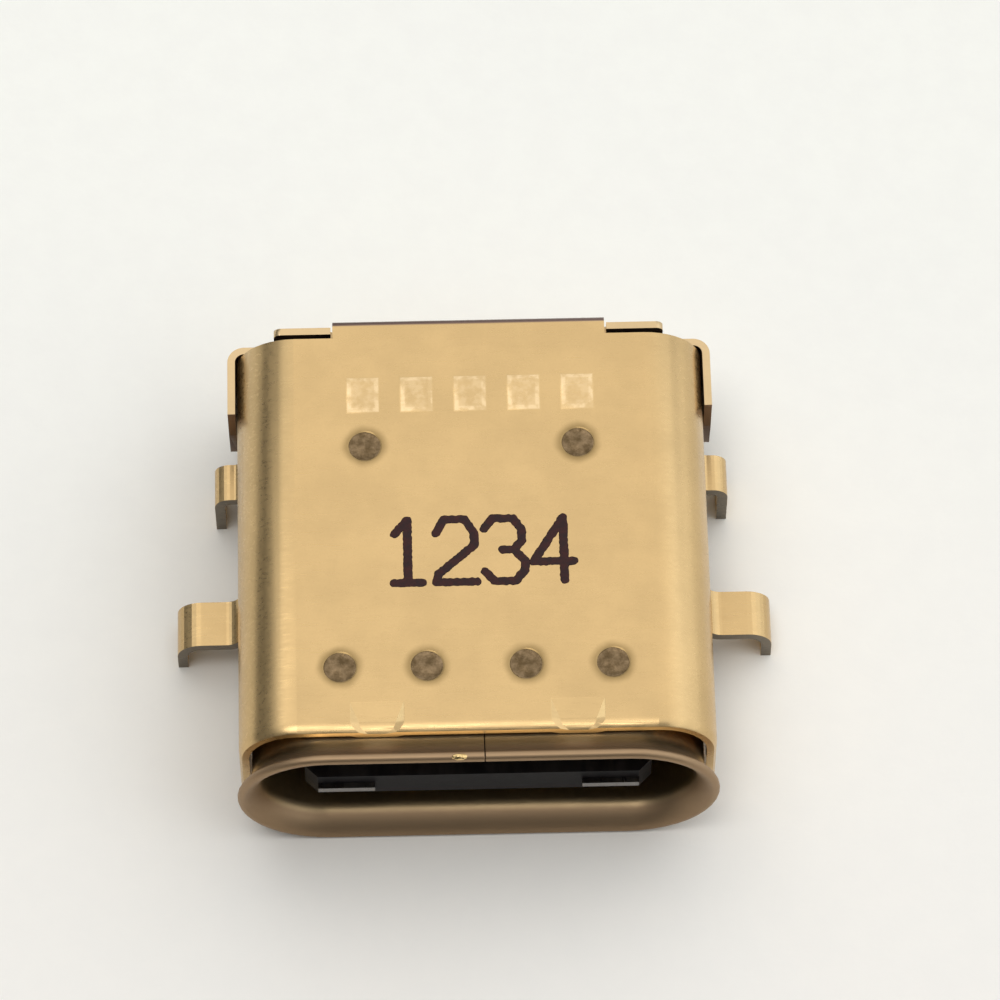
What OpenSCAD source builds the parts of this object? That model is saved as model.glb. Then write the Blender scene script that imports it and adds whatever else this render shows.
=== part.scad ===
// USB Type-C board socket, mid-mount, with an inner mouth shell, a wrapped cover and a rear bracket.
// X runs across, Y runs from the mouth to the tails, Z is up; it lies on its lip and its four legs.

/* [Mouth and inner shell] */
// Width of the plug opening
mouth_w = 8.34; // [8:0.02:8.7]
// Height of the plug opening
mouth_h = 2.56; // [2.4:0.02:2.8]
// Sheet thickness of the inner shell
shell_wall = 0.2; // [0.15:0.01:0.25]
// Bend radius of the flared lip, on its inside
lip_r = 0.66; // [0.55:0.01:0.75]
// Angle through which the lip flares
lip_angle = 60; // [50:1:70]
// Length of the inner shell, from lip to rear edge
shell_len = 7.8; // [7.4:0.1:8]
// Width of the butt seam along the inner shell's top
seam_w = 0.02; // [0.01:0.01:0.05]
// Sideways place of the seam
seam_x = 0.12; // [-0.5:0.01:0.5]

/* [Cover] */
// Sheet thickness of the cover
cover_wall = 0.2; // [0.18:0.01:0.25]
// Radius of the roll along the cover's outer front edge
edge_roll_r = 0.45; // [0.3:0.01:0.6]
// Angle through which that edge rolls over
edge_roll_angle = 30; // [20:1:36]
// Gap between cover and inner shell at the sides
cover_side_gap = 0.03; // [0.02:0.01:0.08]
// Gap between cover and inner shell at the top
cover_top_gap = 0.1; // [0.08:0.01:0.16]
// Outer radius of the cover's top corners
cover_corner_r = 1.15; // [0.8:0.05:1.3]
// Distance of the cover's front edge behind the mouth plane
cover_setback = 0.62; // [0.55:0.01:0.8]
// Width of the tongue that runs on at the cover's rear edge
rear_tongue_w = 5.36; // [4.6:0.02:5.4]
// Length of that rear tongue
rear_tongue_len = 0.42; // [0.3:0.01:0.5]
// Radius to which the rear tongue's end is rolled over
rear_tongue_roll = 0.16; // [0.08:0.01:0.17]
// Height of the circuit board's top face above the lowest point
board_h = 0.75; // [0.65:0.01:0.9]
// Gap between the cover's side walls and the board
skirt_gap = 0.05; // [0.02:0.01:0.15]

/* [Legs of the cover] */
// Inside radius of the bends in the front legs
front_leg_bend_r = 0.28; // [0.1:0.01:0.34]
// Inside radius of the bends in the middle legs
mid_leg_bend_r = 0.11; // [0.08:0.01:0.12]
// Width of the relief slot on each side of a leg
leg_relief = 0.12; // [0.06:0.01:0.2]
// How far the front legs stand out from the cover
front_leg_reach = 1.26; // [1:0.02:1.5]
// Width of a front leg
front_leg_w = 0.95; // [0.7:0.05:1.2]
// Start of the front legs behind the cover's front edge
front_leg_start = 3.17; // [2.8:0.01:3.6]
// How far the middle legs stand out from the cover
mid_leg_reach = 0.5; // [0.48:0.01:0.7]
// Width of a middle leg
mid_leg_w = 0.79; // [0.6:0.01:0.9]
// Distance of the middle legs from the cover's rear edge
mid_leg_back = 1.56; // [1.5:0.01:2]
// Height of a middle leg's flange above the board
mid_leg_rise = 0.3; // [0.2:0.01:0.4]

/* [Weld spots, joggles and pads] */
// Diameter of a weld spot
weld_d = 0.68; // [0.5:0.02:0.8]
// Depth of a weld spot
weld_depth = 0.06; // [0.03:0.01:0.07]
// Front weld row behind the cover's front edge
weld_front = 1.37; // [1.2:0.01:1.6]
// Sideways places of the front weld spots
weld_front_x = [0.95, 2.62];
// Rear weld row in front of the inner shell's rear edge
weld_rear = 1.02; // [0.7:0.01:1.3]
// Sideways place of the rear weld spots
weld_rear_x = 2.08; // [1.8:0.01:2.4]
// Sideways place of the two joggles in the cover's front edge
joggle_x = 1.92; // [1.6:0.01:2.1]
// Flat width of a joggle
joggle_w = 0.7; // [0.5:0.01:0.8]
// Slope of the joggle's sides, in degrees
joggle_angle = 20; // [15:1:35]
// Length over which the sheet falls into a joggle, behind the rolled edge
joggle_fall = 0.4; // [0.2:0.01:0.6]
// Depth of a joggle
joggle_depth = 0.06; // [0.04:0.01:0.08]
// Number of plain pads pressed up in a row at the rear
pad_count = 5; // [3:1:6]
// Spacing of the pads
pad_pitch = 1.05; // [0.9:0.01:1.1]
// Width of a pad
pad_w = 0.66; // [0.5:0.01:0.75]
// Length of a pad
pad_len = 0.8; // [0.5:0.01:0.85]
// Height of a pad
pad_h = 0.03; // [0.02:0.01:0.06]
// Width of the rounded fall along a pad's edges
pad_edge = 0.16; // [0.08:0.01:0.2]
// Middle of the pad row in front of the cover's rear edge
pad_row = 1.29; // [1.1:0.01:1.5]

/* [Rear bracket] */
// Sheet thickness of the bracket
bracket_wall = 0.15; // [0.12:0.01:0.2]
// Gap between the cover's side edges and the bracket's plate
bracket_gap = 0.12; // [0.05:0.01:0.15]
// Inside radius of the bends from plate to ears
ear_bend_r = 0.18; // [0.1:0.01:0.21]
// Gap between the bracket's ears and the cover's sides
ear_gap = 0.03; // [0.03:0.01:0.08]
// Height of the ears' lower edge above the board
ear_foot = 0.25; // [0.1:0.01:0.4]
// Height of an ear
ear_h = 1.75; // [1.5:0.01:1.85]
// How far an ear reaches forward from the plate
ear_len = 1.35; // [1:0.05:1.4]
// Cut-back at an ear's lower front corner
ear_taper = 0.1; // [0.05:0.01:0.3]
// Height of the plate's lower edge above the board
plate_foot = 0.5; // [0.4:0.05:0.8]
// Width of each of the plate's two shoulders, beside the cover's rear tongue
shoulder_w = 1.12; // [0.8:0.02:1.16]
// Radius of a shoulder's outer corner
shoulder_r = 0.14; // [0.05:0.01:0.2]
// How far the shoulders stay below the cover's top
shoulder_drop = 0.05; // [0:0.01:0.1]
// Gap between a shoulder and the rear tongue
shoulder_gap = 0.04; // [0.03:0.01:0.08]

/* [Tongue and housings] */
// Width of the tongue
tongue_w = 6.69; // [6.5:0.01:6.8]
// Thickness of the tongue
tongue_t = 0.7; // [0.66:0.01:0.76]
// Distance of the tongue's tip behind the mouth plane
tongue_setback = 0.35; // [0.3:0.05:0.8]
// Cut-back of the tongue's front corners
tongue_corner = 0.25; // [0.1:0.05:0.4]
// Depth of the plug cavity behind the mouth plane
cavity_depth = 6.2; // [6:0.05:6.4]
// Length of the thick root in front of the cavity's back wall
root_len = 1.2; // [1:0.05:1.4]
// Thickness of the root
root_t = 1.36; // [1.2:0.02:1.5]
// Length of the plug of plastic that fills the inner shell
plug_len = 0.7; // [0.5:0.05:0.8]
// Length of the housings behind the inner shell
body_len = 1.46; // [1.35:0.01:1.7]
// Clearance between plastic and sheet metal
housing_gap = 0.03; // [0.02:0.005:0.05]

/* [Contacts] */
// Contacts in each row
contact_count = 12; // [8:2:12]
// Spacing of the contacts
contact_pitch = 0.5; // [0.46:0.01:0.52]
// Width of a contact
contact_w = 0.25; // [0.2:0.01:0.3]
// Thickness of a contact
contact_t = 0.15; // [0.1:0.01:0.18]
// Inside radius of the bends in a contact
contact_bend_r = 0.08; // [0.05:0.01:0.1]
// Start of a power or ground contact behind the tongue's tip
long_lead = 0.35; // [0.25:0.05:0.5]
// Start of a signal contact behind the tongue's tip
short_lead = 0.75; // [0.6:0.05:1]
// Length of the tails behind the rear bracket
tail_len = 0.83; // [0.5:0.01:1]
// Place of the nearer row of pins behind the inner shell
pin_row_near = 0.25; // [0.2:0.01:0.3]
// Spacing between the two rows of pins
pin_row_pitch = 0.6; // [0.5:0.01:0.65]
// Clearance at each side of a tail in its slot
comb_gap = 0.04; // [0.02:0.01:0.08]

/* [Mid plate and ground pads] */
// Thickness of the mid plate
mid_t = 0.15; // [0.1:0.01:0.18]
// How far the mid plate's two front prongs stand out of the tongue
prong_out = 0.12; // [0:0.01:0.15]
// Width of a front prong
prong_w = 1.1; // [0.8:0.05:1.4]
// Depth of the latch notches in the tongue's sides
notch_depth = 0.3; // [0.2:0.05:0.4]
// Start of the latch notches behind the tongue's tip
notch_start = 1.4; // [1.2:0.05:1.6]
// Length of the latch notches
notch_len = 1; // [0.8:0.05:1.2]
// Sideways place of the mid plate's board legs
plate_leg_x = 3.7; // [3.5:0.01:3.85]
// Width of the mid plate's board legs
plate_leg_w = 0.45; // [0.3:0.01:0.5]
// Thickness of a ground pad
pad_t = 0.1; // [0.08:0.01:0.14]
// Width of a ground pad
ground_pad_w = 6; // [5:0.1:6.4]
// How far a ground pad runs into the plastic
ground_pad_seat = 0.45; // [0.3:0.05:0.6]

/* [Hidden] */
row_labels = [for (i = [1:contact_count]) str(i)];
UPPER = [for (n = row_labels) str("upper_contact_", n)];
LOWER = [for (n = row_labels) str("lower_contact_", n)];

$fn = 64;
bend_steps = 8;
cut = 1;            // how far a solid runs past what it cuts or into what it joins
power_place = 3;    // place of a power contact, counted from the nearer end of its row
gold = [0.86, 0.68, 0.42];
black = [0.07, 0.07, 0.075];
steel = [0.62, 0.62, 0.6];

// Mouth and lip
mouth_r = mouth_h / 2;
mouth_cx = (mouth_w - mouth_h) / 2;
lip_mid_r = lip_r - shell_wall / 2;
lip_depth = lip_mid_r * sin(lip_angle) + shell_wall / 2;
lip_rise = lip_r - lip_mid_r * cos(lip_angle) + shell_wall / 2;
mouth_z = mouth_r + lip_rise;

// Cover
cover_hw = mouth_w / 2 + shell_wall + cover_side_gap + cover_wall;
cover_in = mouth_z + mouth_r + shell_wall + cover_top_gap;
cover_top = cover_in + cover_wall;
bend_x = cover_hw - cover_corner_r;
bend_z = cover_top - cover_corner_r;
roll_reach = edge_roll_r * sin(edge_roll_angle);
skirt_z = board_h + skirt_gap;

// Housings, with the rear bracket's plate and the cover's rear edge set from them
body_front = shell_len + housing_gap;
body_rear = body_front + body_len;
body_hw = cover_hw - cover_wall - housing_gap;
body_top = cover_in - housing_gap;
split_y = cavity_depth + plug_len;
plate_front = body_rear + housing_gap;
plate_rear = plate_front + bracket_wall;
cover_rear = plate_front - bracket_gap;

// Features of the cover, behind the mouth plane
front_leg_y = cover_setback + front_leg_start;
mid_leg_y = cover_rear - mid_leg_back - mid_leg_w;
weld_front_y = cover_setback + weld_front;
weld_rear_y = shell_len - weld_rear;
pad_row_y = cover_rear - pad_row;

// Rear bracket
plate_top = cover_in - housing_gap;
shoulder_x = rear_tongue_w / 2 + shoulder_gap;
shoulder_top = cover_top - shoulder_drop;
ear_x = cover_hw + ear_gap + bracket_wall / 2;
ear_bottom = board_h + ear_foot;
plate_bottom = board_h + plate_foot;

// Tongue and contacts
tongue_top = mouth_z + tongue_t / 2;
root_top = mouth_z + root_t / 2;
tail_end = plate_rear + tail_len;
tail_z = board_h + contact_t / 2;
upper_drop_y = body_rear - contact_t;
comb_front = upper_drop_y - contact_t / 2 - housing_gap;
pin_near_y = body_front + pin_row_near;
overall_len = tail_end;

// Points along one side of a strip that follows a path of straight runs and round bends
function unit(v) = v / norm(v);
function left_of(v) = [-v[1], v[0]];
function bend_side(before, at, after, t, r, side) =
    let (a = unit(at - before), b = unit(after - at),
         turn = atan2(a[0] * b[1] - a[1] * b[0], a * b),
         centre = at - a * r * tan(abs(turn) / 2) + sign(turn) * r * left_of(a),
         from = atan2(-sign(turn) * a[0], sign(turn) * a[1]),
         reach = r - side * sign(turn) * t / 2)
    [for (k = [0:bend_steps])
        let (angle = from + turn * k / bend_steps) centre + reach * [cos(angle), sin(angle)]];
function strip_side(path, t, r, side) =
    let (last = len(path) - 1)
    concat(
        [path[0] + side * t / 2 * left_of(unit(path[1] - path[0]))],
        [for (i = [1:1:last - 1]) each bend_side(path[i - 1], path[i], path[i + 1], t, r, side)],
        [path[last] + side * t / 2 * left_of(unit(path[last] - path[last - 1]))]);
function reversed(list) = [for (i = [len(list) - 1:-1:0]) list[i]];
// Outline of a bent strip of thickness t, with bends of inside radius r
function strip(path, t, r) =
    concat(strip_side(path, t, r + t / 2, 1), reversed(strip_side(path, t, r + t / 2, -1)));

// Sideways place of contact i in its row, and whether it is a power or ground contact
function contact_x(i) = (i - (contact_count - 1) / 2) * contact_pitch;
function is_long(i) = let (k = min(i, contact_count - 1 - i)) k == 0 || k == power_place;
function contact_front(i) = tongue_setback + (is_long(i) ? long_lead : short_lead);

// Puts the part on its lowest point, with the middle of its length at the origin
module placed() translate([0, -overall_len / 2, 0]) children();
// Extrudes a YZ outline across X, centred on x
module across(x, w) translate([x, 0, 0]) rotate([90, 0, 90]) linear_extrude(w, center = true) children();
// Extrudes an XZ outline along Y
module along(y, len) translate([0, y + len, 0]) rotate([90, 0, 0]) linear_extrude(len) children();
module both_sides() { children(); mirror([1, 0, 0]) children(); }

// Round-ended mouth section of half height r
module oval(r) translate([0, mouth_z]) {
    square([2 * mouth_cx, 2 * r], center = true);
    for (x = [-mouth_cx, mouth_cx]) translate([x, 0]) circle(r);
}

// Section with a flat base and round top corners
module arch(hw, bottom, top, r) {
    translate([-hw, bottom]) square([2 * hw, top - r - bottom]);
    translate([r - hw, bottom]) square([2 * (hw - r), top - bottom]);
    for (x = [r - hw, hw - r]) translate([x, top - r]) circle(r);
}

// ---- inner shell ----

// Wall and flared lip, as radius from the mouth's centre line against distance behind the mouth plane
function lip_arc(r, from, to) =
    [for (k = [0:bend_steps])
        let (angle = from + (to - from) * k / bend_steps)
        [mouth_r + lip_r - r * cos(angle), lip_depth - r * sin(angle)]];
function lip_rim() =
    let (centre = [mouth_r + lip_r - lip_mid_r * cos(lip_angle), lip_depth - lip_mid_r * sin(lip_angle)])
    [for (k = [1:bend_steps - 1])
        let (angle = lip_angle - 180 + 180 * k / bend_steps)
        centre + shell_wall / 2 * [cos(angle), sin(angle)]];
function shell_profile() = concat(
    [[mouth_r, shell_len]], lip_arc(lip_r, 0, lip_angle), lip_rim(),
    lip_arc(lip_r - shell_wall, lip_angle, 0), [[mouth_r + shell_wall, shell_len]]);

module shell_end() translate([mouth_cx, 0, mouth_z]) rotate([-90, 0, 0]) rotate([0, 0, -90])
    rotate_extrude(angle = 180) polygon(shell_profile());
module shell_flat() across(0, 2 * mouth_cx) polygon([for (p = shell_profile()) [p[1], p[0]]]);

module inner_shell() color(gold) placed() difference() {
    union() {
        both_sides() shell_end();
        translate([0, 0, mouth_z]) {
            shell_flat();
            mirror([0, 0, 1]) shell_flat();
        }
    }
    translate([seam_x - seam_w / 2, -cut, mouth_z]) cube([seam_w, shell_len + 2 * cut, mouth_z]);
}

// ---- cover ----

// Rolled front edge of the sheet, as height above the sheet's outer face against distance behind the
// mouth plane
function edge_roll() =
    [for (k = [0:bend_steps])
        let (angle = edge_roll_angle * (1 - k / bend_steps))
        [edge_roll_r * (cos(angle) - 1), cover_setback + roll_reach - edge_roll_r * sin(angle)]];

// Section of the sheet, as distance out from the corner bends' centre against distance behind the
// mouth plane
function sheet_profile() =
    let (inner = cover_corner_r - cover_wall)
    concat(
        [[inner, cover_rear], [inner, cover_setback]],
        [for (p = edge_roll()) [cover_corner_r + p[0], p[1]]],
        [[cover_corner_r, cover_rear]]);

module cover_sheet() {
    outline = sheet_profile();
    translate([0, 0, bend_z]) across(0, 2 * bend_x) polygon([for (p = outline) [p[1], p[0]]]);
    both_sides() {
        translate([bend_x, 0, bend_z]) rotate([-90, 0, 0]) rotate([0, 0, -90])
            rotate_extrude(angle = 90) polygon(outline);
        translate([bend_x, 0, skirt_z]) linear_extrude(bend_z - skirt_z) polygon(outline);
    }
}

// Tongue that runs on at the rear edge and over the rear bracket, its end rolled over
module rear_tongue() across(0, rear_tongue_w) {
    root = cover_rear - cut;
    end = cover_rear + rear_tongue_len;
    translate([root, cover_in]) square([end - root, cover_wall - rear_tongue_roll]);
    translate([root, cover_in]) square([end - rear_tongue_roll - root, cover_wall]);
    translate([end - rear_tongue_roll, cover_top - rear_tongue_roll]) intersection() {
        circle(rear_tongue_roll);
        square(rear_tongue_roll);
    }
}

// A pressed dip, open at the cover's front edge, whose floor lies joggle_depth below z; rim is the
// front edge's own outline there, as height above z against distance behind the mouth plane
module joggle(z, rim) {
    run = 1 / tan(joggle_angle);
    top_hw = joggle_w / 2 + joggle_depth * run;
    drop = joggle_depth - rim[0][0];
    intersection() {
        along(cover_setback, roll_reach + joggle_fall) polygon([
            [joggle_x - top_hw, z], [joggle_x + top_hw, z],
            [joggle_x + top_hw - drop * run, z - drop], [joggle_x - top_hw + drop * run, z - drop]]);
        across(joggle_x, 2 * top_hw) polygon(concat(
            [[cover_setback, z]],
            [for (p = rim) [p[1], z - joggle_depth + p[0]]],
            [[cover_setback + roll_reach + joggle_fall, z]]));
    }
}

module at_welds() for (side = [-1, 1]) {
    for (x = weld_front_x) translate([side * x, weld_front_y, 0]) children();
    translate([side * weld_rear_x, weld_rear_y, 0]) children();
}

// A pad's outline from one side: flat on top, with a rounded fall at both ends
module pad_outline(len) intersection() {
    fall_r = (pow(pad_edge, 2) + pow(pad_h, 2)) / (2 * pad_h);
    flat = len - 2 * pad_edge;
    translate([-len / 2, -cover_wall / 2]) square([len, cover_wall / 2 + pad_h]);
    union() {
        translate([-flat / 2, -cover_wall]) square([flat, cover_wall + pad_h]);
        for (x = [-flat / 2, flat / 2]) translate([x, pad_h - fall_r]) circle(fall_r);
    }
}

// A plain pad, rounded off on all four sides
module raised_pad() intersection() {
    across(0, pad_w) pad_outline(pad_len);
    along(-pad_len / 2, pad_len) pad_outline(pad_w);
}

// Bent leg: down the wall, out over the board and down through it
module leg(y, w, reach, flange_z, bend_r) {
    wall_x = cover_hw - cover_wall / 2;
    wall_z = flange_z + cover_wall + bend_r;
    path = [[wall_x, wall_z + leg_relief], [wall_x, flange_z + cover_wall / 2],
            [cover_hw + reach - cover_wall / 2, flange_z + cover_wall / 2],
            [cover_hw + reach - cover_wall / 2, 0]];
    along(y, w) polygon(strip(path, cover_wall, bend_r));
}

module leg_window(y, w, flange_z, bend_r) {
    top = flange_z + cover_wall + bend_r + leg_relief;
    translate([cover_hw - 2 * cover_wall, y - leg_relief, 0])
        cube([2 * cover_wall + cut, w + 2 * leg_relief, top]);
}

module cover_shell() color(gold) placed() {
    difference() {
        union() {
            cover_sheet();
            rear_tongue();
            for (i = [0:pad_count - 1])
                translate([(i - (pad_count - 1) / 2) * pad_pitch, pad_row_y, cover_top]) raised_pad();
            both_sides() joggle(cover_in, [[0, cover_setback], [0, cover_setback + roll_reach]]);
            translate([0, 0, cover_in - weld_depth])
                at_welds() cylinder(d1 = weld_d / 2, d2 = weld_d, h = weld_depth + cover_wall / 2);
        }
        both_sides() joggle(cover_top, edge_roll());
        translate([0, 0, cover_top - weld_depth])
            at_welds() cylinder(d1 = weld_d / 2, d2 = weld_d, h = weld_depth);
        both_sides() {
            leg_window(front_leg_y, front_leg_w, board_h, front_leg_bend_r);
            leg_window(mid_leg_y, mid_leg_w, board_h + mid_leg_rise, mid_leg_bend_r);
        }
    }
    both_sides() {
        leg(front_leg_y, front_leg_w, front_leg_reach, board_h, front_leg_bend_r);
        leg(mid_leg_y, mid_leg_w, mid_leg_reach, board_h + mid_leg_rise, mid_leg_bend_r);
    }
}

// ---- rear bracket ----

module ear() {
    y = plate_front + bracket_wall / 2;
    root_x = contact_x(contact_count - 1) + contact_w / 2 + 2 * comb_gap;
    path = [[root_x, y], [ear_x, y], [ear_x, plate_front - ear_len]];
    difference() {
        translate([0, 0, ear_bottom]) linear_extrude(ear_h) polygon(strip(path, bracket_wall, ear_bend_r));
        across(ear_x, 2 * bracket_wall) polygon([
            [plate_front - ear_len - cut, ear_bottom - cut],
            [plate_front - ear_len + ear_taper, ear_bottom - cut],
            [plate_front - ear_len + ear_taper, ear_bottom],
            [plate_front - ear_len, ear_bottom + ear_h / 2],
            [plate_front - ear_len - cut, ear_bottom + ear_h / 2]]);
    }
}

// Plate's outline from the front: a low middle under the cover's rear tongue and a raised shoulder on
// each side
module plate_outline() {
    outer = shoulder_x + shoulder_w;
    translate([-outer, plate_bottom]) square([2 * outer, plate_top - plate_bottom]);
    for (side = [-1, 1]) scale([side, 1]) {
        translate([shoulder_x, plate_bottom]) square([shoulder_w, shoulder_top - shoulder_r - plate_bottom]);
        translate([shoulder_x, plate_bottom]) square([shoulder_w - shoulder_r, shoulder_top - plate_bottom]);
        translate([outer - shoulder_r, shoulder_top - shoulder_r]) circle(shoulder_r);
    }
}

module rear_bracket() color(gold) placed() {
    along(plate_front, bracket_wall) plate_outline();
    both_sides() ear();
}

// ---- contacts ----

// Outline of an upper contact in YZ: along the tongue's top, down behind the housings and out as a tail
module upper_outline(front) polygon(strip(
    [[front, tongue_top - contact_t / 2], [upper_drop_y, tongue_top - contact_t / 2],
     [upper_drop_y, tail_z], [tail_end, tail_z]], contact_t, contact_bend_r));

// Outline of a lower contact in YZ: along the tongue's underside and down through the board
module lower_outline(front, pin_y) {
    z = mouth_z - tongue_t / 2 + contact_t / 2;
    polygon(strip([[front, z], [pin_y, z], [pin_y, 0]], contact_t, contact_bend_r));
}

module upper_strip(i) across(contact_x(i), contact_w) upper_outline(contact_front(i));
module lower_strip(i) across(contact_x(i), contact_w)
    lower_outline(contact_front(i), pin_near_y + (i % 2) * pin_row_pitch);
module upper_contact(i) color(gold) placed() upper_strip(i);
module lower_contact(i) color(gold) placed() lower_strip(i);

// ---- mid plate and ground pads ----

// Latch notches in both sides of the tongue
module notches(height) both_sides()
    translate([tongue_w / 2 - notch_depth, tongue_setback + notch_start, mouth_z - height / 2])
        cube([notch_depth + cut, notch_len, height]);

module mid_plate_body() {
    rear = pin_near_y + pin_row_pitch;
    prong_inner = tongue_w / 2 - tongue_corner - prong_w;
    difference() {
        union() {
            translate([-tongue_w / 2, tongue_setback + tongue_corner, mouth_z - mid_t / 2])
                cube([tongue_w, split_y - tongue_setback, mid_t]);
            both_sides() {
                translate([prong_inner, tongue_setback - prong_out, mouth_z - mid_t / 2])
                    cube([prong_w, tongue_corner + prong_out + cut, mid_t]);
                along(pin_near_y, plate_leg_w) polygon(strip(
                    [[0, mouth_z], [plate_leg_x, mouth_z], [plate_leg_x, 0]], mid_t, mid_t / 2));
            }
            translate([-tongue_w / 2, split_y, mouth_z - mid_t / 2]) cube([tongue_w, rear - split_y, mid_t]);
        }
        notches(2 * mid_t);
    }
}

// Stepped sheet on the tongue's root, on its upper side
module ground_pad_up() {
    y = cavity_depth - root_len - pad_t / 2;
    z = root_top + pad_t / 2;
    across(0, ground_pad_w) polygon(strip(
        [[y, tongue_top], [y, z], [cavity_depth + ground_pad_seat, z]], pad_t, pad_t / 4));
}
module ground_pad_down() translate([0, 0, 2 * mouth_z]) mirror([0, 0, 1]) ground_pad_up();

module mid_plate() color(steel) placed() mid_plate_body();
module upper_ground_pad() color(steel) placed() ground_pad_up();
module lower_ground_pad() color(steel) placed() ground_pad_down();

// ---- plastic ----

module tongue_form() {
    half = tongue_w / 2;
    translate([0, 0, mouth_z - tongue_t / 2]) linear_extrude(tongue_t) polygon([
        [-half, split_y], [-half, tongue_setback + tongue_corner], [tongue_corner - half, tongue_setback],
        [half - tongue_corner, tongue_setback], [half, tongue_setback + tongue_corner], [half, split_y]]);
}

module tongue_overmould() color(black) placed() difference() {
    union() {
        tongue_form();
        translate([-tongue_w / 2, cavity_depth - root_len, mouth_z - root_t / 2])
            cube([tongue_w, root_len + plug_len, root_t]);
        along(cavity_depth, plug_len) oval(mouth_r - housing_gap);
    }
    notches(tongue_t + cut);
    mid_plate_body();
    ground_pad_up();
    ground_pad_down();
    for (i = [0:contact_count - 1]) {
        upper_strip(i);
        lower_strip(i);
    }
}

// Both housings before they are parted: an oval plug inside the shell and a wider body behind it
module housing_form() {
    along(split_y, body_front - split_y) oval(mouth_r - housing_gap);
    along(body_front, body_rear - body_front)
        arch(body_hw, board_h, body_top, cover_corner_r - cover_wall - housing_gap);
}

// Slots in which the upper contacts run down to the board
module comb_slots() for (i = [0:contact_count - 1])
    translate([contact_x(i) - contact_w / 2 - comb_gap, comb_front, 0])
        cube([contact_w + 2 * comb_gap, body_rear - comb_front + cut, tongue_top + comb_gap]);

module upper_housing() color(black) placed() difference() {
    housing_form();
    translate([-body_hw - cut, 0, -cut])
        cube([2 * (body_hw + cut), body_rear + cut, mouth_z + mid_t / 2 + cut]);
    comb_slots();
    for (i = [0:contact_count - 1]) upper_strip(i);
}

module lower_housing() color(black) placed() difference() {
    housing_form();
    translate([-body_hw - cut, 0, mouth_z - mid_t / 2])
        cube([2 * (body_hw + cut), body_rear + cut, body_top]);
    comb_slots();
    mid_plate_body();
    for (i = [0:contact_count - 1]) lower_strip(i);
}

cover_shell();
inner_shell();
rear_bracket();
tongue_overmould();
upper_housing();
lower_housing();
mid_plate();
upper_ground_pad();
lower_ground_pad();
for (i = [0:contact_count - 1]) {
    upper_contact(i);
    lower_contact(i);
}
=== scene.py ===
"""USB Type-C board socket: materials, weld pools, marking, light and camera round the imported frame.

Everything is in metres in the part's own frame: X across the mouth, Y from mouth to tails, Z up.
"""
import math

import bmesh
import bpy
from mathutils import Matrix, Vector, noise


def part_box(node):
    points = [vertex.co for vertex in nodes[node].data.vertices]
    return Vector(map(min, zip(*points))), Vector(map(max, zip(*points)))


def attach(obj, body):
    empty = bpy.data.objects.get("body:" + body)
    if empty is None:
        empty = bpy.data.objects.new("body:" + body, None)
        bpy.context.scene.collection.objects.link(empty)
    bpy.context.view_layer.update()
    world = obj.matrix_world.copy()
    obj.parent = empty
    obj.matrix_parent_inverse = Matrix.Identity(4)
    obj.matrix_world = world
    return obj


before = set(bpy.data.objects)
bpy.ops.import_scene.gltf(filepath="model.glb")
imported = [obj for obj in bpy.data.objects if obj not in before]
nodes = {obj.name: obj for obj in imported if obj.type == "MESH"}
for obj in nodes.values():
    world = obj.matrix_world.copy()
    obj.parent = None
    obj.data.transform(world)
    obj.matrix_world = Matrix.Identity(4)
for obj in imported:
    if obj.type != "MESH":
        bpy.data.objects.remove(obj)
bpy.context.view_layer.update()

MM = 0.001
ROOT = "root"

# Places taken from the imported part
cover_low, cover_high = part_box("cover_shell")
cover_front = cover_low.y
cover_rear = cover_high.y
shell_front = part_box("inner_shell")[0].y
shell_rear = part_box("inner_shell")[1].y
housing_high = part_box("upper_housing")[1]
HOUSING_GAP = 0.03 * MM    # between the housing and the cover
SHEET = 0.2 * MM           # the cover's thickness
cover_half = housing_high.x + HOUSING_GAP + SHEET
sheet_top = housing_high.z + HOUSING_GAP + SHEET

# Weld spots, as the cover's dips have them
WELD_TOP_R = 0.34 * MM
WELD_POOL_R = 0.322 * MM
WELD_DEPTH = 0.06 * MM
weld_front_y = cover_front + 1.37 * MM
weld_rear_y = shell_rear - 1.02 * MM
weld_places = [(side * x * MM, weld_front_y) for x in (0.95, 2.62) for side in (-1, 1)]
weld_places += [(side * 2.08 * MM, weld_rear_y) for side in (-1, 1)]

# Marking on the cover's top
DIGIT_W = 0.78 * MM
DIGIT_H = 1.36 * MM
DIGIT_PITCH = 0.94 * MM
STROKE = 0.175 * MM
INK_H = 0.004 * MM
marking_centre = Vector((0.13 * MM, cover_front + 3.83 * MM, sheet_top))

# Pressed dips in the cover's front edge, and its raised pads
JOGGLE_X = 1.92 * MM
JOGGLE_HALF = 0.515 * MM
JOGGLE_LENGTH = 0.625 * MM
PAD_RISE = 0.03 * MM

# Burr on the lip's rim
BURR_X = -0.37 * MM
BURR_SIZE = Vector((0.15, 0.065, 0.06)) * MM

# Edges and joins
JOIN_GAP = 0.0002 * MM                 # points nearer than this are one
SMOOTH_BELOW = math.radians(24.0)      # facets that meet at less than this are one curve
BEVEL_ABOVE = math.radians(40.0)       # edges sharper than this are rounded

# Camera
VIEW_AZIMUTH = math.radians(1.58)      # towards the left of straight in front
VIEW_ELEVATION = math.radians(62.41)
VIEW_ROLL = math.radians(-0.23)
VIEW_DISTANCE = 120.1 * MM
VIEW_AIM = Vector((0.551, 1.012, 2.337)) * MM
LENS = 220.1
SENSOR = 36.0

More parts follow.
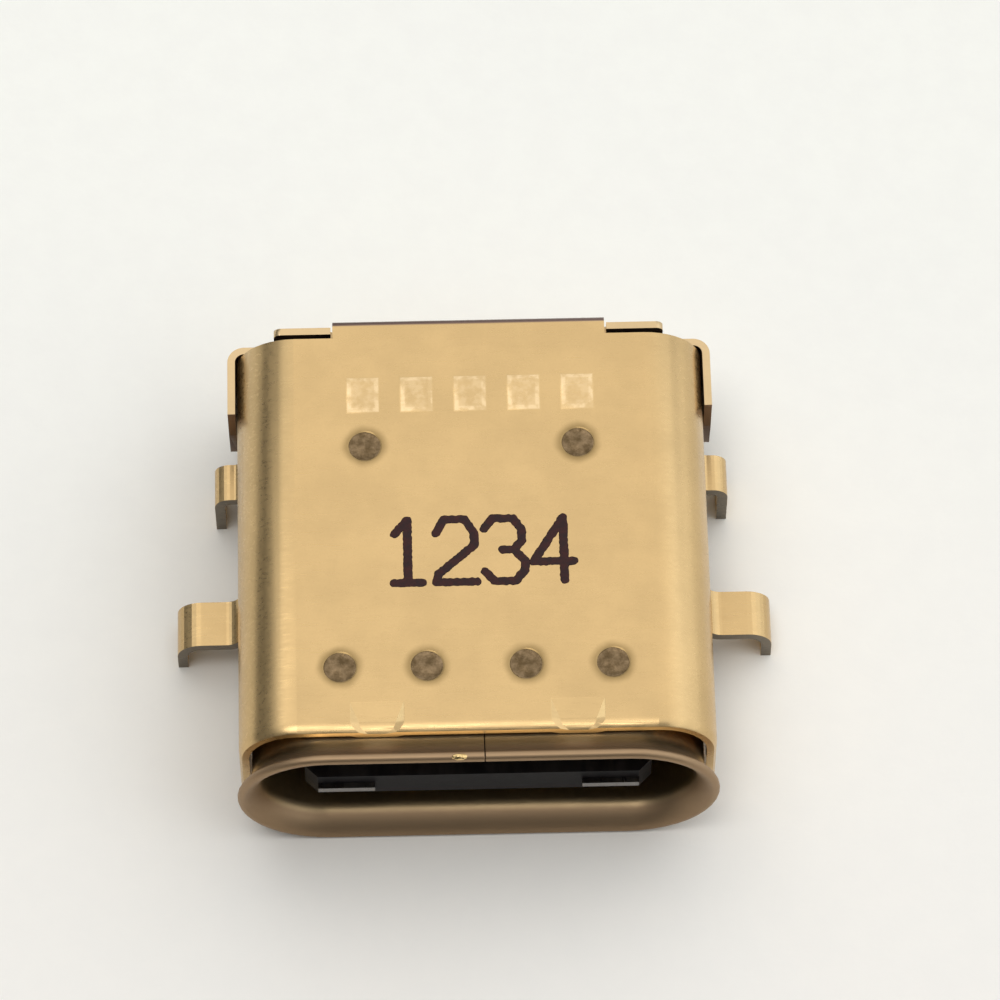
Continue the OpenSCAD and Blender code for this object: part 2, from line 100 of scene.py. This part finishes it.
# Room light
BRIGHT_SIDE = Vector((0.5, 0.35, 0.79)).normalized()
CEILING_PATCH = Vector((0.0, 0.38, 0.92)).normalized()
LEFT_PATCH = Vector((-0.36, 0.46, 0.81)).normalized()
RIGHT_PATCH = Vector((0.6, 0.46, 0.65)).normalized()
SKY_LOW = 0.3
SKY_HIGH = 1.48


# ---- node helpers ----

class Shader:
    """A material's or world's node tree, with short calls to add and join nodes."""

    def __init__(self, owner):
        owner.use_nodes = True
        self.tree = owner.node_tree
        self.tree.nodes.clear()

    def add(self, kind, inputs=None, **settings):
        node = self.tree.nodes.new(kind)
        for key, value in settings.items():
            setattr(node, key, value)
        for key, value in (inputs or {}).items():
            self.put(node.inputs[key], value)
        return node

    def put(self, socket, value):
        if isinstance(value, bpy.types.NodeSocket):
            self.tree.links.new(value, socket)
        else:
            socket.default_value = value

    def math(self, operation, a, b=0.0, clamp=False):
        node = self.add("ShaderNodeMath", {0: a, 1: b}, operation=operation, use_clamp=clamp)
        return node.outputs[0]

    def vector(self, operation, a, b=(0.0, 0.0, 0.0)):
        node = self.add("ShaderNodeVectorMath", {0: a, 1: b}, operation=operation)
        return node.outputs["Value" if operation in ("LENGTH", "DISTANCE", "DOT_PRODUCT") else "Vector"]

    def ramp(self, value, low, high, to_low=0.0, to_high=1.0):
        node = self.add("ShaderNodeMapRange", {"Value": value, "From Min": low, "From Max": high,
                                               "To Min": to_low, "To Max": to_high},
                        interpolation_type="SMOOTHSTEP")
        return node.outputs["Result"]

    def mix(self, factor, a, b, blend="MIX"):
        node = self.add("ShaderNodeMix", {"Factor": factor}, data_type="RGBA", blend_type=blend)
        self.put(node.inputs[6], a)
        self.put(node.inputs[7], b)
        return node.outputs[2]

    def noise(self, vector, scale, detail=3.0, roughness=0.5):
        node = self.add("ShaderNodeTexNoise", {"Vector": vector, "Scale": scale, "Detail": detail,
                                               "Roughness": roughness})
        return node.outputs["Fac"]

    def cone(self, way, centre, inner, outer):
        """1 within inner degrees of the centre direction, falling to 0 at outer degrees."""
        facing = self.vector("DOT_PRODUCT", way, tuple(centre))
        return self.ramp(facing, math.cos(math.radians(outer)), math.cos(math.radians(inner)))

    def surface(self, shader):
        """Sends a shader to the tree's output."""
        kind = "ShaderNodeOutputWorld" if shader.bl_idname == "ShaderNodeBackground" else "ShaderNodeOutputMaterial"
        self.put(self.add(kind).inputs["Surface"], shader.outputs[0])

    def facing(self):
        return self.add("ShaderNodeSeparateXYZ",
                        {0: self.add("ShaderNodeNewGeometry").outputs["Normal"]}).outputs

    def axes(self, vector):
        return self.add("ShaderNodeSeparateXYZ", {0: vector}).outputs

    def place(self):
        return self.add("ShaderNodeTexCoord").outputs["Object"]

    def stretched(self, vector, stretch):
        return self.vector("MULTIPLY", vector, stretch)

    def bump(self, height, distance, strength=1.0, under=None):
        inputs = {"Height": height, "Distance": distance, "Strength": strength}
        if under is not None:
            inputs["Normal"] = under
        return self.add("ShaderNodeBump", inputs).outputs["Normal"]


def colour(r, g, b):
    return (r, g, b, 1.0)


# ---- materials ----

def gold_plate(name, base, low_rough, high_rough, grain=(1.0, 1.0, 1.0), dress=None):
    """Satin gold plating over rolled sheet: mottled tone, fine speckle, rolling grain and a gentle waviness."""
    material = bpy.data.materials.new(name)
    s = Shader(material)
    place = s.place()
    mottle = s.noise(place, 900.0, 4.0, 0.6)
    speckle = s.noise(place, 22000.0, 2.0, 0.5)
    rolling = s.noise(s.stretched(place, grain), 16000.0, 3.0, 0.6)
    tone = s.mix(s.ramp(mottle, 0.3, 0.7), colour(*[c * 0.95 for c in base]),
                 colour(*[min(1.0, c * 1.04) for c in base]))
    tone = s.mix(s.math("MULTIPLY", s.ramp(speckle, 0.35, 0.75), 0.12), tone,
                 colour(*[c * 0.78 for c in base]))
    rough = s.ramp(rolling, 0.3, 0.7, low_rough, high_rough)
    if dress:
        tone, rough = dress(s, place, tone, rough)
    waves = s.bump(s.noise(place, 260.0, 1.0, 0.4), 0.03 * MM)
    normal = s.bump(s.math("ADD", s.math("MULTIPLY", rolling, 0.6), speckle), 0.0004 * MM, 1.0, waves)
    shader = s.add("ShaderNodeBsdfPrincipled", {"Base Color": tone, "Metallic": 1.0, "Roughness": rough,
                                                "Normal": normal})
    s.surface(shader)
    return material


def lip_painted_shade(s, place, tone, rough):
    """The flared lip's plating is painted darker and browner than the tube behind it, as painted shade for its dull
    reflections, and it is rougher.
    """
    y = s.axes(place)["Y"]
    lip = s.ramp(y, shell_front + 0.3 * MM, shell_front + 0.5 * MM, 0.9, 0.0)
    # Painted shade: the lip's tone is mixed towards a dull dark brown.
    return s.mix(lip, tone, colour(0.32, 0.215, 0.13)), s.math("ADD", rough, s.math("MULTIPLY", lip, 0.2))


def joggle_floor(s, axes):
    """1 inside the cover's two pressed dips."""
    beside = s.math("ABSOLUTE", s.math("SUBTRACT", s.math("ABSOLUTE", axes["X"]), JOGGLE_X))
    across = s.ramp(beside, JOGGLE_HALF - 0.01 * MM, JOGGLE_HALF, 1.0, 0.0)
    front = s.ramp(axes["Y"], cover_front + 0.18 * MM, cover_front + 0.24 * MM)
    rear = s.ramp(axes["Y"], cover_front + JOGGLE_LENGTH - 0.01 * MM, cover_front + JOGGLE_LENGTH, 1.0, 0.0)
    top = s.ramp(axes["Z"], cover_high.z - PAD_RISE - 0.07 * MM, cover_high.z - PAD_RISE - 0.062 * MM)
    return s.math("MULTIPLY", s.math("MULTIPLY", across, top), s.math("MULTIPLY", front, rear))


def bracket_painted_shade(s, place, tone, rough):
    """Faces of the rear bracket that turn to the front are painted dark brown: painted shade, partly the bare metal
    of cut faces.
    """
    facing = s.facing()
    cut_face_shade = s.ramp(facing["Y"], -0.7, -0.3, 0.85, 0.0)
    # Painted shade on every face turned to the front.
    return s.mix(cut_face_shade, tone, colour(0.17, 0.105, 0.09)), rough


def weld_halo(s, place, tone, rough):
    """Olive heat tint round each weld spot, by distance from the spot in the sheet's own plane."""
    signed = s.axes(place)
    across = s.math("ABSOLUTE", signed["X"])
    flat = s.add("ShaderNodeCombineXYZ", {"X": across, "Y": signed["Y"]}).outputs[0]
    wobble = s.math("MULTIPLY", s.noise(place, 2600.0, 2.0), 0.1 * MM)
    ring = None
    for x, y in sorted({(abs(x), y) for x, y in weld_places}):
        gap = s.math("ADD", s.vector("DISTANCE", flat, (x, y, 0.0)), wobble)
        spot = s.ramp(gap, WELD_TOP_R, 0.56 * MM, 1.0, 0.0)
        ring = spot if ring is None else s.math("MAXIMUM", ring, spot)
    top_only = s.ramp(signed["Z"], sheet_top - 0.3 * MM, sheet_top - 0.2 * MM)
    amount = s.math("MULTIPLY", s.math("MULTIPLY", ring, top_only), 0.8)
    return s.mix(amount, tone, colour(0.24, 0.16, 0.065)), s.math("ADD", rough, s.math("MULTIPLY", amount, 0.1))


def cover_tint_and_painted_light(s, place, tone, rough):
    """Heat tint round the welds; painted highlight on the raised pads; painted shade on the dips' floors and
    painted highlight on their left-facing walls; the legs' cut faces, bare metal, painted near-black as painted
    shade; painted shade on the tongue's rolled end.
    """
    tone, rough = weld_halo(s, place, tone, rough)
    axes = s.axes(place)
    facing = s.facing()
    # Painted shade: the legs' cut faces, bare metal, are painted near-black.
    legs = s.ramp(s.math("ABSOLUTE", axes["X"]), cover_half + 0.02 * MM, cover_half + 0.06 * MM)
    cut_face_shade = s.math("MULTIPLY", legs, s.ramp(s.math("ABSOLUTE", facing["Y"]), 0.5, 0.9))
    # Painted shade: the rear tongue's rolled end is painted dark purple-brown, partly its bare cut edge.
    tongue_end_shade = s.ramp(axes["Y"], cover_rear - 0.17 * MM, cover_rear - 0.12 * MM)
    # Painted highlight: the raised pads' slopes are painted lighter gold, their tops half as much, broken up by
    # noise.
    pads = s.ramp(axes["Z"], cover_high.z - PAD_RISE + 0.002 * MM, cover_high.z - 0.018 * MM)
    pad_tops = s.ramp(axes["Z"], cover_high.z - 0.006 * MM, cover_high.z - 0.002 * MM, 0.0, 0.5)
    pad_highlight_break = s.ramp(s.noise(place, 6000.0, 2.0), 0.35, 0.65, 0.15, 0.7)
    tone = s.mix(s.math("MULTIPLY", s.math("SUBTRACT", pads, pad_tops), pad_highlight_break), tone, colour(0.86, 0.66, 0.4))
    # Painted shade and highlight: the dips' floors are painted darker and their left-facing walls lighter, to even
    # out how their slopes catch the light.
    dips = joggle_floor(s, axes)
    left_wall_highlight = s.ramp(facing["X"], -0.3, -0.08, 0.9, 0.0)
    tone = s.mix(s.math("MULTIPLY", dips, 0.4), tone, colour(0.45, 0.32, 0.155))
    tone = s.mix(s.math("MULTIPLY", dips, left_wall_highlight), tone, colour(0.9, 0.66, 0.33))
    tone = s.mix(s.math("MULTIPLY", cut_face_shade, 0.9), tone, colour(0.13, 0.12, 0.105))
    return s.mix(s.math("MULTIPLY", tongue_end_shade, 0.9), tone, colour(0.13, 0.085, 0.09)), rough


def weld_metal():
    """Melted and darkened metal of a weld spot."""
    material = bpy.data.materials.new("weld_metal")
    s = Shader(material)
    place = s.place()
    cloud = s.noise(place, 5200.0, 4.0, 0.65)
    grit = s.noise(place, 30000.0, 3.0, 0.6)
    tone = s.mix(s.ramp(cloud, 0.3, 0.72), colour(0.11, 0.073, 0.036), colour(0.25, 0.175, 0.1))
    shader = s.add("ShaderNodeBsdfPrincipled", {
        "Base Color": tone, "Metallic": 1.0, "Roughness": s.ramp(grit, 0.3, 0.7, 0.3, 0.55),
        "Normal": s.bump(s.math("ADD", cloud, s.math("MULTIPLY", grit, 0.3)), 0.012 * MM)})
    s.surface(shader)
    return material


def marking_ink():
    """Dark burnt marking with uneven depth."""
    material = bpy.data.materials.new("marking_ink")
    s = Shader(material)
    place = s.place()
    patch = s.noise(place, 7000.0, 4.0, 0.7)
    tone = s.mix(s.ramp(patch, 0.35, 0.7), colour(0.02, 0.005, 0.006), colour(0.05, 0.015, 0.014))
    shader = s.add("ShaderNodeBsdfPrincipled", {
        "Base Color": tone, "Roughness": s.ramp(patch, 0.3, 0.7, 0.5, 0.75), "Specular IOR Level": 0.25,
        "Normal": s.bump(s.noise(place, 26000.0, 3.0), 0.002 * MM)})
    s.surface(shader)
    return material


def black_plastic():
    """Moulded black polymer, with faint flow streaks and a fine eroded surface."""
    material = bpy.data.materials.new("black_polymer")
    s = Shader(material)
    place = s.place()
    flow = s.noise(s.stretched(place, (1.0, 0.25, 1.0)), 3500.0, 4.0, 0.6)
    grain = s.noise(place, 24000.0, 3.0, 0.6)
    tone = s.mix(s.ramp(flow, 0.35, 0.7), colour(0.008, 0.007, 0.008), colour(0.02, 0.018, 0.018))
    shader = s.add("ShaderNodeBsdfPrincipled", {
        "Base Color": tone, "Roughness": s.ramp(flow, 0.3, 0.7, 0.45, 0.6), "Specular IOR Level": 0.16,
        "Normal": s.bump(grain, 0.003 * MM)})
    s.surface(shader)
    return material


def plate_steel():
    """Rolled sheet with its grain along Y, painted dark as painted shade inside the mouth, with faces turned to the
    front painted lighter as painted highlight.
    """
    material = bpy.data.materials.new("rolled_steel")
    s = Shader(material)
    place = s.place()
    grain = s.noise(s.stretched(place, (1.0, 0.06, 1.0)), 16000.0, 3.0, 0.6)
    stain = s.noise(place, 1800.0, 3.0)
    front = s.facing()["Y"]
    tone = s.mix(s.ramp(stain, 0.35, 0.7), colour(0.05, 0.045, 0.045), colour(0.1, 0.095, 0.09))
    # Painted highlight: faces turned to the front are painted light grey.
    tone = s.mix(s.ramp(front, -0.8, -0.3, 1.0, 0.0), tone, colour(0.27, 0.26, 0.25))
    shader = s.add("ShaderNodeBsdfPrincipled", {
        "Base Color": tone, "Metallic": 1.0, "Roughness": s.ramp(grain, 0.3, 0.7, 0.25, 0.42),
        "Normal": s.bump(grain, 0.0015 * MM)})
    s.surface(shader)
    return material


def floor_paper():
    """Pale matt board, painted a little warmer and darker towards the front as painted shade."""
    material = bpy.data.materials.new("pale_board")
    s = Shader(material)
    place = s.place()
    y = s.axes(place)["Y"]
    fibre = s.noise(place, 1400.0, 5.0, 0.6)
    cloud = s.noise(place, 120.0, 2.0)
    # Painted shade: darker and warmer towards the front.
    tone = s.mix(s.ramp(y, -0.012, 0.014), colour(0.92, 0.895, 0.86), colour(0.95, 0.952, 0.91))
    tone = s.mix(s.math("MULTIPLY", s.ramp(cloud, 0.3, 0.7), 0.25), tone, colour(0.9, 0.9, 0.88))
    tone = s.mix(s.math("MULTIPLY", s.ramp(fibre, 0.3, 0.7), 0.2), tone, colour(0.86, 0.85, 0.83))
    shader = s.add("ShaderNodeBsdfPrincipled", {"Base Color": tone, "Roughness": 0.85,
                                                "Normal": s.bump(fibre, 0.01 * MM)})
    s.surface(shader)
    return material


# ---- pieces ----

def piece(name, verts, faces, material, smooth=True):
    """A mesh object that rides with the part."""
    mesh = bpy.data.meshes.new(name)
    mesh.from_pydata([tuple(v) for v in verts], [], faces)
    mesh.materials.append(material)
    if smooth:
        mesh.shade_smooth()
    obj = bpy.data.objects.new(name, mesh)
    bpy.context.scene.collection.objects.link(obj)
    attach(obj, ROOT)
    return obj


def weld_pool(name, x, y, material, turn):
    """Frozen pool that fills a weld dip: a low blob in its middle, a groove round it and a turned-up rim."""
    profile = [(0.22, -0.013), (0.4, -0.019), (0.56, -0.026), (0.7, -0.027), (0.82, -0.021), (0.92, -0.011),
               (1.0, -0.009)]
    segments = 48
    rings = []
    for part, z in profile:
        ring = []
        for k in range(segments):
            angle = 2 * math.pi * k / segments
            waver = 0.05 * math.sin(2 * angle + turn) + 0.03 * math.sin(5 * angle - turn)
            spread = WELD_POOL_R * part * (1.0 + waver * part * (1.0 - part) * 4.0)
            spot = Vector((spread * math.cos(angle), spread * math.sin(angle), 0.0))
            lift = 0.007 * MM * noise.noise(spot * 9000.0 + Vector((turn, 0.0, 0.0))) * (1.0 - part ** 4)
            ring.append(Vector((x + spot.x, y + spot.y, sheet_top + z * MM + lift)))
        rings.append(ring)
    verts = [Vector((x, y, sheet_top - 0.012 * MM))] + [v for ring in rings for v in ring]
    faces = [(0, 1 + k, 1 + (k + 1) % segments) for k in range(segments)]
    for i in range(len(rings) - 1):
        for k in range(segments):
            a, b = 1 + i * segments + k, 1 + i * segments + (k + 1) % segments
            faces.append((a, a + segments, b + segments, b))
    floor_z = sheet_top - WELD_DEPTH - 0.01 * MM
    low = len(verts)
    verts += [Vector((x + 0.5 * (v.x - x), y + 0.5 * (v.y - y), floor_z)) for v in rings[-1]]
    edge = 1 + (len(rings) - 1) * segments
    for k in range(segments):
        faces.append((edge + k, low + k, low + (k + 1) % segments, edge + (k + 1) % segments))
    faces.append(tuple(low + k for k in reversed(range(segments))))
    return piece(name, verts, faces, material)


def seam_burr(material):
    """Small burr on the flared lip's rim, beside the shell's seam."""
    low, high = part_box("inner_shell")
    centre = Vector((BURR_X, low.y + 0.062 * MM, high.z - 0.022 * MM))
    ball = bmesh.new()
    bmesh.ops.create_icosphere(ball, subdivisions=4, radius=1.0)
    verts = []
    for vert in ball.verts:
        swell = 1.0 + 0.15 * noise.noise(vert.co * 2.2)
        verts.append(centre + Vector((vert.co.x * BURR_SIZE.x, vert.co.y * BURR_SIZE.y,
                                      vert.co.z * BURR_SIZE.z)) * swell)
    faces = [[v.index for v in face.verts] for face in ball.faces]
    ball.free()
    return piece("seam_burr", verts, faces, material)


# Strokes of the plain numbers 1 2 3 4 on a unit cell
DIGITS = {
    1: [[(0.18, 0.78), (0.5, 1.0), (0.5, 0.0)], [(0.15, 0.0), (0.85, 0.0)]],
    2: [[(0.0, 0.78), (0.2, 1.0), (0.72, 1.0), (0.95, 0.78), (0.95, 0.58), (0.05, 0.13), (0.0, 0.0), (1.0, 0.0)]],
    3: [[(0.0, 0.84), (0.2, 1.0), (0.72, 1.0), (0.93, 0.82), (0.93, 0.64), (0.72, 0.5), (0.45, 0.5)],
        [(0.72, 0.5), (1.0, 0.32), (1.0, 0.18), (0.76, 0.0), (0.24, 0.0), (0.0, 0.16)]],
    4: [[(0.76, 0.0), (0.76, 1.0), (0.0, 0.3), (1.0, 0.3)]],
}


def stroke_gap(point, strokes):
    """Distance from a point to the nearest stroke."""
    best = 1.0
    for line in strokes:
        for a, b in zip(line, line[1:]):
            along = b - a
            t = max(0.0, min(1.0, (point - a).dot(along) / along.length_squared))
            best = min(best, (point - a - along * t).length)
    return best


def marking_digit(number, corner, material):
    """One number as a thin crowned film, whose outline wavers as a burnt mark's does."""
    strokes = [[Vector((x * DIGIT_W, y * DIGIT_H)) for x, y in line] for line in DIGITS[number]]
    cell = 0.024 * MM
    half = STROKE / 2
    cols = round((DIGIT_W + 2 * STROKE) / cell)
    rows = round((DIGIT_H + 2 * STROKE) / cell)

    def inside(i, j):
        spot = Vector((i * cell - STROKE, j * cell - STROKE))
        waver = noise.noise(Vector((spot.x, spot.y, number * MM)) * 14000.0)
        return half * (1.0 + 0.22 * waver) - stroke_gap(spot, strokes)

    depth = {(i, j): inside(i, j) for i in range(cols + 1) for j in range(rows + 1)}
    verts, index, faces = [], {}, []

    def vertex(key, x, y, z):
        if key not in index:
            index[key] = len(verts)
            verts.append(corner + Vector((x - STROKE, y - STROKE, z)))
        return index[key]

    def grid_vertex(i, j, side):
        lift = INK_H * min(1.0, depth[i, j] / (half * 0.5)) if side > 0 else -0.001 * MM
        return vertex((i, j, side), i * cell, j * cell, lift)

    def edge_vertex(p, q):
        p, q = min(p, q), max(p, q)
        t = depth[p] / (depth[p] - depth[q])
        return vertex((p, q), (p[0] + t * (q[0] - p[0])) * cell, (p[1] + t * (q[1] - p[1])) * cell, 0.0)

    for i in range(cols):
        for j in range(rows):
            corners = [(i, j), (i + 1, j), (i + 1, j + 1), (i, j + 1)]
            for side in (1, -1):
                outline = []
                for a, b in zip(corners, corners[1:] + corners[:1]):
                    if depth[a] > 0:
                        outline.append(grid_vertex(*a, side))
                    if (depth[a] > 0) != (depth[b] > 0):
                        outline.append(edge_vertex(a, b))
                if len(outline) > 2:
                    faces.append(tuple(outline[::side]))
    return piece("marking_%d" % number, verts, faces, material)


def joined_mesh():
    """Node group that joins a solid's faces into one skin and keeps only its real edges sharp."""
    group = bpy.data.node_groups.new("joined_mesh", "GeometryNodeTree")
    group.interface.new_socket("Geometry", in_out="INPUT", socket_type="NodeSocketGeometry")
    group.interface.new_socket("Geometry", in_out="OUTPUT", socket_type="NodeSocketGeometry")
    add, link = group.nodes.new, group.links.new
    source, target = add("NodeGroupInput"), add("NodeGroupOutput")
    merge = add("GeometryNodeMergeByDistance")
    merge.inputs["Distance"].default_value = JOIN_GAP
    angle = add("GeometryNodeInputMeshEdgeAngle")
    sharp = add("FunctionNodeCompare")
    sharp.inputs[1].default_value = SMOOTH_BELOW
    normal = add("GeometryNodeSetMeshNormal")
    normal.inputs["Remove Custom"].default_value = True
    link(source.outputs[0], merge.inputs["Geometry"])
    link(merge.outputs[0], normal.inputs["Mesh"])
    link(angle.outputs["Unsigned Angle"], sharp.inputs[0])
    link(sharp.outputs[0], normal.inputs["Edge Sharpness"])
    link(normal.outputs[0], target.inputs[0])
    return group


def round_edges(obj, width):
    bevel = obj.modifiers.new("edge", "BEVEL")
    bevel.width = width
    bevel.segments = 2
    bevel.limit_method = "ANGLE"
    bevel.angle_limit = BEVEL_ABOVE
    return bevel


def soften(obj, width):
    """Rounds a solid's sharp edges by a small radius, as tumbling and plating leave them."""
    weld = obj.modifiers.new("join", "WELD")
    weld.merge_threshold = JOIN_GAP
    round_edges(obj, width).harden_normals = True


def soften_tube(obj, width):
    """The same for the oval shell, whose faceted curves are shaded as one smooth skin."""
    join = obj.modifiers.new("join", "NODES")
    join.node_group = joined_mesh()
    round_edges(obj, width)
    level = obj.modifiers.new("level", "WEIGHTED_NORMAL")
    level.keep_sharp = True
    level.weight = 90


def finish_node(name, material, width, rounding=soften):
    obj = nodes[name]
    obj.data.materials.clear()
    obj.data.materials.append(material)
    rounding(obj, width)


# ---- light, floor and camera ----

def stage_floor():
    mesh = bpy.data.meshes.new("floor")
    bm = bmesh.new()
    bmesh.ops.create_grid(bm, x_segments=8, y_segments=8, size=0.6)
    bm.to_mesh(mesh)
    bm.free()
    mesh.materials.append(floor_paper())
    floor = bpy.data.objects.new("floor", mesh)
    bpy.context.scene.collection.objects.link(floor)


def studio_world(view_from):
    """Soft room light: bright overhead and towards the right and back, dim low on the left and at the viewer."""
    world = bpy.data.worlds.new("studio")
    bpy.context.scene.world = world
    s = Shader(world)
    way = s.add("ShaderNodeTexCoord").outputs["Generated"]
    axes = s.axes(way)
    level = s.ramp(s.vector("DOT_PRODUCT", way, tuple(BRIGHT_SIDE)), 0.12, 0.64, SKY_LOW, SKY_HIGH)
    horizon = s.math("MAXIMUM", s.ramp(axes["Z"], 0.0, 0.8, 0.45, 1.0), s.ramp(axes["X"], 0.2, 0.8, 0.0, 0.85))
    level = s.math("MULTIPLY", s.math("MULTIPLY", level, horizon), s.ramp(axes["Y"], -0.9, -0.2, 0.5, 1.0))
    ceiling = s.cone(way, CEILING_PATCH, 18.0, 42.0)
    level = s.math("MULTIPLY", level, s.math("SUBTRACT", 1.0, s.math("MULTIPLY", ceiling, 0.2)))
    viewer = s.cone(way, view_from, 12.0, 32.0)
    level = s.math("MULTIPLY", level, s.math("SUBTRACT", 1.0, s.math("MULTIPLY", viewer, 0.8)))
    sides = s.math("ADD", s.math("MULTIPLY", s.cone(way, LEFT_PATCH, 2.0, 14.0), 0.75),
                   s.math("MULTIPLY", s.cone(way, RIGHT_PATCH, 6.0, 30.0), 0.2))
    level = s.math("ADD", level, sides)
    tint = s.mix(ceiling, s.mix(sides, colour(0.98, 1.0, 1.0), colour(0.95, 1.0, 1.1)),
                 colour(1.0, 0.98, 0.94))
    lit = s.add("ShaderNodeBackground", {"Color": tint, "Strength": level})
    s.surface(lit)


def softbox(name, place, aim, size, strength):
    """Square area lamp whose face has about the brightness given."""
    lamp = bpy.data.lights.new(name, "AREA")
    lamp.shape = "SQUARE"
    lamp.size = size
    lamp.energy = strength * math.pi * size * size
    lamp.color = (1.0, 0.97, 0.93)
    obj = bpy.data.objects.new(name, lamp)
    obj.location = place
    obj.rotation_euler = (Vector(place) - Vector(aim)).to_track_quat("Z", "Y").to_euler()
    bpy.context.scene.collection.objects.link(obj)


def make_camera():
    """Places the camera by azimuth, elevation, roll and distance about the point it is aimed at."""
    flat = math.cos(VIEW_ELEVATION)
    back = Vector((-math.sin(VIEW_AZIMUTH) * flat, -math.cos(VIEW_AZIMUTH) * flat, math.sin(VIEW_ELEVATION)))
    right = Vector((math.cos(VIEW_AZIMUTH), -math.sin(VIEW_AZIMUTH), 0.0))
    turned = Matrix((right, back.cross(right), back)).transposed() @ Matrix.Rotation(-VIEW_ROLL, 3, "Z")
    data = bpy.data.cameras.new("camera")
    data.lens = LENS
    data.sensor_width = SENSOR
    data.clip_start = 0.01
    data.clip_end = 5.0
    camera = bpy.data.objects.new("camera", data)
    camera.matrix_world = Matrix.Translation(VIEW_AIM + back * VIEW_DISTANCE) @ turned.to_4x4()
    bpy.context.scene.collection.objects.link(camera)
    bpy.context.scene.camera = camera
    return back


# ---- the scene ----

bpy.context.scene.view_settings.view_transform = "Standard"
view_from = make_camera()
stage_floor()
studio_world(view_from)
softbox("key", (-0.08, -0.075, 0.45), (0.0, 0.0, 0.0), 0.17, 4.2)

cover_gold = gold_plate("cover_gold", (0.605, 0.424, 0.205), 0.26, 0.36, (0.12, 1.0, 1.0), cover_tint_and_painted_light)
shell_gold = gold_plate("shell_gold", (0.64, 0.48, 0.27), 0.3, 0.34, (0.3, 1.0, 1.0), lip_painted_shade)
bracket_gold = gold_plate("bracket_gold", (0.62, 0.46, 0.26), 0.28, 0.4, (0.15, 1.0, 1.0), bracket_painted_shade)
contact_gold = gold_plate("contact_gold", (0.8, 0.58, 0.27), 0.16, 0.28, (1.0, 0.1, 1.0))
polymer = black_plastic()
steel = plate_steel()
weld = weld_metal()
ink = marking_ink()

finish_node("cover_shell", cover_gold, 0.026 * MM)
finish_node("inner_shell", shell_gold, 0.006 * MM, soften_tube)
finish_node("rear_bracket", bracket_gold, 0.026 * MM)
for name in nodes:
    if "contact" in name:
        finish_node(name, contact_gold, 0.012 * MM)
    elif "housing" in name or "overmould" in name:
        finish_node(name, polymer, 0.015 * MM)
    elif "pad" in name or "plate" in name:
        finish_node(name, steel, 0.012 * MM)

seam_burr(contact_gold)
for number, (x, y) in enumerate(weld_places, start=1):
    weld_pool("weld_pool_%d" % number, x, y, weld, 1.7 * number)

first = marking_centre - Vector((1.5 * DIGIT_PITCH + DIGIT_W / 2, DIGIT_H / 2, 0.0))
for number in DIGITS:
    marking_digit(number, first + Vector(((number - 1) * DIGIT_PITCH, 0.0, 0.0)), ink)
